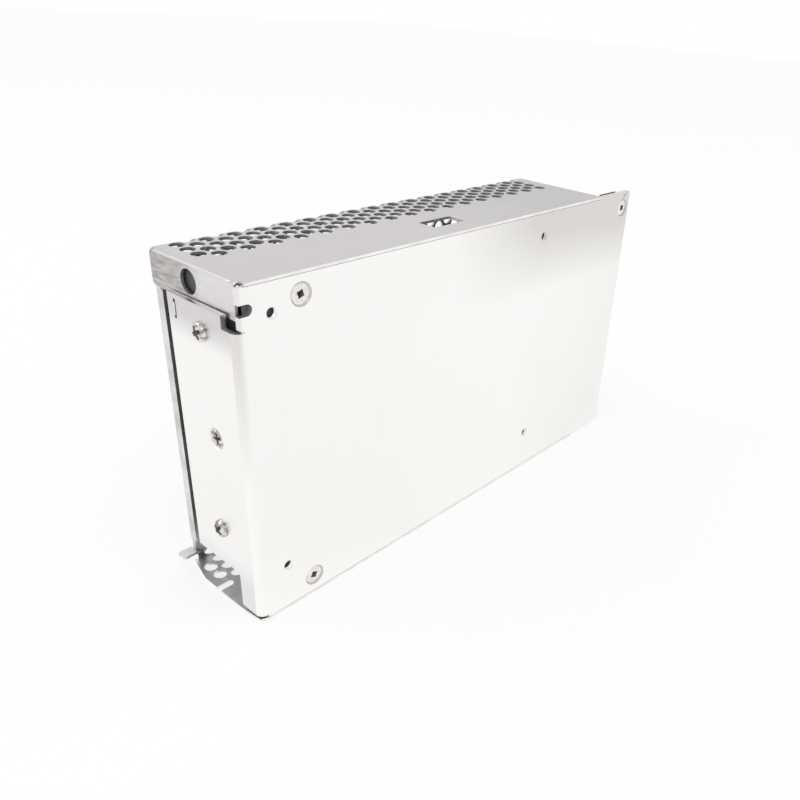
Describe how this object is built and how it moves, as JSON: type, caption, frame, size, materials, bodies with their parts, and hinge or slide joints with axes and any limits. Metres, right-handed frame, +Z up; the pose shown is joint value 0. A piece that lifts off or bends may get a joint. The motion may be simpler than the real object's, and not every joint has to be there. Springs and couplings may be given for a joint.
{
  "type": "enclosed switching power supply",
  "caption": "Low oblong switching power supply in a folded metal case: flat aluminium base plate with tapped mounting holes, perforated mesh cover and a barrier terminal block.",
  "frame": {"origin": "centre of the footprint of the case standing on one long side, on the ground plane, the foot tab at the end wall included", "axes": "+X along the case towards the terminals, -Y the outward side of the flat base plate, +Z up"},
  "size_m": [0.1742, 0.038, 0.098],
  "materials": {
    "aluminium_sheet": "mill-finish rolled sheet with faint lengthwise grain",
    "zinc_plated_sheet": "zinc-plated cold-rolled sheet, satin and faintly streaked",
    "nickel_screw": "nickel-plated steel, lightly dulled",
    "zinc_hardware": "zinc-plated steel",
    "board_laminate": "tan paper laminate",
    "insulating_film": "smoked dark grey polyester film",
    "nylon": "natural nylon",
    "silicone_pad": "grey filled silicone",
    "moulded_black": "black moulding compound",
    "terminal_moulding": "black flame-retardant thermoplastic",
    "plated_contact": "tin-plated brass",
    "trimmer_blue": "blue moulded housing",
    "trimmer_white": "white moulded rotor",
    "led_green": "tinted clear resin",
    "ferrite": "dark grey sintered ferrite",
    "yellow_tape": "yellow polyester tape",
    "enamelled_copper": "enamelled copper wire",
    "black_sleeve": "heat-shrunk can sleeve",
    "green_sleeve": "heat-shrunk can sleeve",
    "yellow_box": "filled resin box",
    "blue_disc": "dipped resin coat",
    "dark_disc": "dipped resin coat",
    "fuse_glass": "clear glass tube with metal caps"
  },
  "bodies": {
    "case": {"chassis": "aluminium_sheet", "perforated_cover": "zinc_plated_sheet", "insulating_sheet": "insulating_film", "circuit_board": "board_laminate", "board_standoffs": "zinc_hardware", "support_post": "nylon", "base_screws": "nickel_screw", "end_wall_screws": "nickel_screw", "centre_screw": "nickel_screw", "clamp_bar": "zinc_hardware", "clamp_nuts": "zinc_hardware", "thermal_strip": "silicone_pad", "terminal_block": "terminal_moulding", "terminal_plates": "plated_contact", "terminal_screws": "nickel_screw", "trimmer_body": "trimmer_blue", "indicator_led": "led_green", "transformer_core": "ferrite", "transformer_winding": "yellow_tape", "output_choke": "enamelled_copper", "filter_choke_core": "ferrite", "filter_choke_coils": "enamelled_copper", "film_capacitor": "yellow_box", "safety_capacitors": "blue_disc", "thermistor": "dark_disc", "fuse": "fuse_glass", "fuse_clips": "plated_contact", "bridge_rectifier": "moulded_black", "control_chip": "moulded_black", "optocoupler": "moulded_black", "output_rectifier_1": "moulded_black", "output_rectifier_2": "moulded_black", "switching_transistor_1": "moulded_black", "switching_transistor_2": "moulded_black", "bulk_capacitor_1": "black_sleeve", "bulk_capacitor_2": "black_sleeve", "output_capacitor_1": "green_sleeve", "output_capacitor_2": "green_sleeve", "output_capacitor_3": "green_sleeve"},
    "adjuster": {"trimmer_rotor": "trimmer_white"}
  },
  "joints": [
    {"name": "output_adjust", "type": "hinge", "parent": "case", "child": "adjuster", "pos_m": [0.0751, -0.0064, 0.0878], "axis": [0, 1, 0], "range_deg": [-135, 135]}
  ]
}
